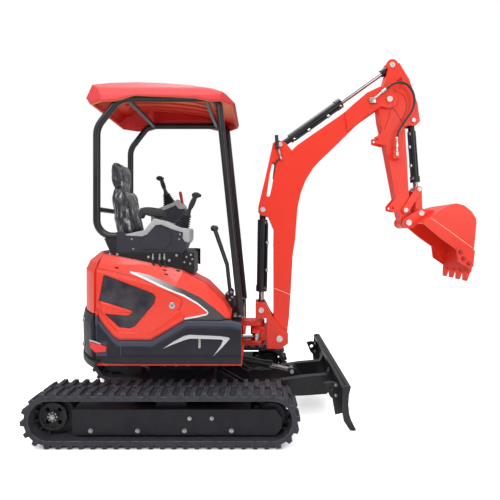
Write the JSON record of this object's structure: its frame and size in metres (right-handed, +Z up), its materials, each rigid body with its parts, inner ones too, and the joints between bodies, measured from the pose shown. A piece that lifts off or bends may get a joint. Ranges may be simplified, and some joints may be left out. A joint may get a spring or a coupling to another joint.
{
  "type": "mini excavator",
  "caption": "Compact rubber-tracked excavator with a canopy, dozer blade, swinging boom, arm and bucket, all on working joints.",
  "frame": {"origin": "middle of the bounding box at ground level, arm pose as in the picture", "axes": "+X forward towards the blade, +Y to the machine's left, +Z up"},
  "size_m": [3.047, 1.24, 2.6539],
  "materials": {
    "blade_black": "satin black paint, worn edge",
    "chrome_rod": "hard chrome",
    "console": "textured moulding",
    "cylinder_black": "black paint",
    "cylinder_dark": "black paint",
    "dark_casting": "satin charcoal paint",
    "dark_panel": "satin charcoal moulding",
    "engine": "plain block",
    "frame_black": "satin black paint",
    "grey_steel": "cast and machined",
    "hose": "black hydraulic hose",
    "lamp": "red lens",
    "lever": "black levers",
    "red_paint": "gloss orange-red paint",
    "red_panel": "gloss orange-red moulding",
    "roof": "gloss orange-red moulding",
    "rubber": "matt moulded rubber",
    "stick": "rubber bellows and grip",
    "tube_black": "gloss black tube",
    "upholstery": "dark vinyl",
    "window": "dark grille"
  },
  "bodies": {
    "undercarriage": {"track_left": "rubber", "track_right": "rubber", "track_frame_left": "frame_black", "track_frame_right": "frame_black", "idler_left": "frame_black", "idler_right": "frame_black", "sprocket_left": "grey_steel", "sprocket_right": "grey_steel", "rollers_left": "frame_black", "rollers_right": "frame_black", "centre_frame": "frame_black", "slew_ring": "grey_steel"},
    "house": {"deck": "red_paint", "counterweight": "dark_casting", "left_cover": "red_panel", "seat_base": "frame_black", "tank_cover": "red_panel", "right_skirt": "dark_panel", "left_skirt": "dark_panel", "floor": "frame_black", "engine_block": "engine", "seat_frame": "frame_black", "seat_cushion": "upholstery", "seat_back": "upholstery", "head_rest": "upholstery", "right_console": "console", "left_console": "console", "right_stick": "stick", "left_stick": "stick", "travel_levers": "lever", "hoop_left": "tube_black", "hoop_right": "tube_black", "cross_bars": "tube_black", "canopy_roof": "roof", "tail_lamps": "lamp", "safety_lever": "lever", "arm_rest": "upholstery"},
    "right_door": {"right_cover": "red_panel", "right_window": "window"},
    "hood": {"rear_hood": "red_panel"},
    "dozer": {"blade": "blade_black", "blade_arms": "blade_black"},
    "blade_barrel": {"blade_cylinder_barrel": "cylinder_black"},
    "blade_rod": {"blade_cylinder_rod": "chrome_rod"},
    "post": {"swing_post": "red_paint"},
    "swing_barrel": {"swing_cylinder_barrel": "cylinder_black"},
    "swing_rod": {"swing_cylinder_rod": "chrome_rod"},
    "boom": {"boom": "red_paint"},
    "boom_barrel": {"boom_cylinder_barrel": "cylinder_dark"},
    "boom_rod": {"boom_cylinder_rod": "chrome_rod"},
    "arm": {"arm": "red_paint", "arm_hoses": "hose"},
    "arm_barrel": {"arm_cylinder_barrel": "cylinder_dark"},
    "arm_rod": {"arm_cylinder_rod": "chrome_rod"},
    "bucket_barrel": {"bucket_cylinder_barrel": "cylinder_dark"},
    "bucket_rod": {"bucket_cylinder_rod": "chrome_rod"},
    "tipping": {"tipping_links": "red_paint"},
    "link": {"bucket_link": "red_paint"},
    "bucket": {"bucket": "red_paint"}
  },
  "joints": [
    {"name": "slew", "type": "hinge", "parent": "undercarriage", "child": "house", "pos_m": [-0.63, 0, 0.435], "axis": [0, 0, 1], "continuous": true},
    {"name": "boom_swing", "type": "hinge", "parent": "house", "child": "post", "pos_m": [-0.065, 0, 0.575], "axis": [0, 0, 1], "range_deg": [-55, 75]},
    {"name": "boom_lift", "type": "hinge", "parent": "post", "child": "boom", "pos_m": [0.1, 0, 0.531], "axis": [0, 1, 0], "range_deg": [0, 95]},
    {"name": "arm_reach", "type": "hinge", "parent": "boom", "child": "arm", "pos_m": [0.932, 0, 2.336], "axis": [0, -1, 0], "range_deg": [-16, 82]},
    {"name": "bucket_curl", "type": "hinge", "parent": "arm", "child": "bucket", "pos_m": [1.07, 0, 1.404], "axis": [0, 1, 0], "range_deg": [0, 170]},
    {"name": "blade_lift", "type": "hinge", "parent": "undercarriage", "child": "dozer", "pos_m": [-0.17, 0, 0.165], "axis": [0, 1, 0], "range_deg": [-14, 26]},
    {"name": "right_cover_hinge", "type": "hinge", "parent": "house", "child": "right_door", "pos_m": [-1.096, -0.5093, 0.817], "axis": [0, 0, -1], "range_deg": [0, 70]},
    {"name": "rear_hood_hinge", "type": "hinge", "parent": "house", "child": "hood", "pos_m": [-1.117, 0.506, 0.94], "axis": [0, 0, -1], "range_deg": [0, 80]},
    {"name": "boom_barrel_turn", "type": "hinge", "parent": "boom", "child": "boom_barrel", "pos_m": [-0.024, 0, 1.504], "axis": [0, 1, 0], "range_deg": [-0.2, 6.4]},
    {"name": "boom_rod_slide", "type": "slide", "parent": "boom_barrel", "child": "boom_rod", "axis": [-0.0171, 0, -0.9999], "range_m": [-0.001, 0.36295]},
    {"name": "arm_barrel_turn", "type": "hinge", "parent": "boom", "child": "arm_barrel", "pos_m": [0.107, 0, 1.998], "axis": [0, 1, 0], "range_deg": [-4.55, 1.05]},
    {"name": "arm_rod_slide", "type": "slide", "parent": "arm_barrel", "child": "arm_rod", "axis": [0.8141, 0, 0.5807], "range_m": [-0.34786, 0.06868]},
    {"name": "bucket_barrel_turn", "type": "hinge", "parent": "arm", "child": "bucket_barrel", "pos_m": [1.124, 0, 2.186], "axis": [0, 1, 0], "range_deg": [-2.97, 0.2]},
    {"name": "bucket_rod_slide", "type": "slide", "parent": "bucket_barrel", "child": "bucket_rod", "axis": [0.0737, 0, -0.9973], "range_m": [-0.001, 0.324]},
    {"name": "tipping_turn", "type": "hinge", "parent": "arm", "child": "tipping", "pos_m": [1.06, 0, 1.5], "axis": [0, 1, 0], "range_deg": [-0.2, 115.19]},
    {"name": "link_turn", "type": "hinge", "parent": "tipping", "child": "link", "pos_m": [1.163, 0, 1.658], "axis": [0, 1, 0], "range_deg": [-30.14, 0.2]},
    {"name": "blade_barrel_turn", "type": "hinge", "parent": "undercarriage", "child": "blade_barrel", "pos_m": [-0.27, 0, 0.365], "axis": [0, 1, 0], "range_deg": [-10.14, 18.66]},
    {"name": "blade_rod_slide", "type": "slide", "parent": "blade_barrel", "child": "blade_rod", "axis": [0.9783, 0, -0.207], "range_m": [-0.04083, 0.07497]},
    {"name": "swing_barrel_turn", "type": "hinge", "parent": "house", "child": "swing_barrel", "pos_m": [-0.64, -0.13, 0.556], "axis": [0, 0, 1], "range_deg": [-0.59, 0.74]},
    {"name": "swing_rod_slide", "type": "slide", "parent": "swing_barrel", "child": "swing_rod", "axis": [0.9994, 0.0354, 0], "range_m": [-0.09038, 0.12288]}
  ],
  "couplings": [
    {"joint": "boom_barrel_turn", "follows": "boom_lift", "ratio": 0.064},
    {"joint": "boom_rod_slide", "follows": "boom_lift", "m_per_rad": 0.2183},
    {"joint": "arm_barrel_turn", "follows": "arm_reach", "ratio": -0.052},
    {"joint": "arm_rod_slide", "follows": "arm_reach", "m_per_rad": -0.24236},
    {"joint": "bucket_barrel_turn", "follows": "bucket_curl", "ratio": -0.016},
    {"joint": "bucket_rod_slide", "follows": "bucket_curl", "m_per_rad": 0.10886},
    {"joint": "tipping_turn", "follows": "bucket_curl", "ratio": 0.66314},
    {"joint": "link_turn", "follows": "bucket_curl", "ratio": -0.17267},
    {"joint": "blade_barrel_turn", "follows": "blade_lift", "ratio": 0.696},
    {"joint": "blade_rod_slide", "follows": "blade_lift", "m_per_rad": 0.16301},
    {"joint": "swing_barrel_turn", "follows": "boom_swing", "ratio": 0.007},
    {"joint": "swing_rod_slide", "follows": "boom_swing", "m_per_rad": 0.093106}
  ]
}
